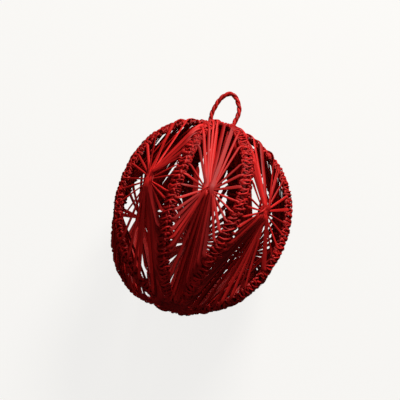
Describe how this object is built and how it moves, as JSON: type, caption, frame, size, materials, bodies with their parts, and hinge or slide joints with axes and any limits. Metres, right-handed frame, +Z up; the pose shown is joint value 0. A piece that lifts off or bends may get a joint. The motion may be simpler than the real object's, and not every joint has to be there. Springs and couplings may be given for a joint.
{
  "type": "woven palm christmas bauble",
  "caption": "Openwork Christmas bauble of knotted palm ribs with star-gathered palm strands between them, crocheted rounds at its poles and a twisted hanging loop.",
  "frame": {"origin": "on the ground, under the middle of the whole outline, as the bauble lies on its side", "axes": "+Z up, +Y along the bauble's own axis towards the hanging loop, +X to the right of it"},
  "size_m": [0.088, 0.1189, 0.0886],
  "materials": {
    "knotted_palm": "dyed red palm fibre, knotted, dull satin",
    "split_palm": "dyed red split palm, straight flat strands, satin",
    "twisted_palm": "dyed red palm fibre, two-ply twist, dull satin"
  },
  "bodies": {
    "root": {"rib_1": "knotted_palm", "rib_2": "knotted_palm", "rib_3": "knotted_palm", "rib_4": "knotted_palm", "rib_5": "knotted_palm", "rib_6": "knotted_palm", "rib_7": "knotted_palm", "rib_8": "knotted_palm", "top_round": "knotted_palm", "bottom_round": "knotted_palm", "star_1": "split_palm", "star_2": "split_palm", "star_3": "split_palm", "star_4": "split_palm", "star_5": "split_palm", "star_6": "split_palm", "star_7": "split_palm", "star_8": "split_palm", "hanging_loop": "twisted_palm"}
  },
  "joints": []
}
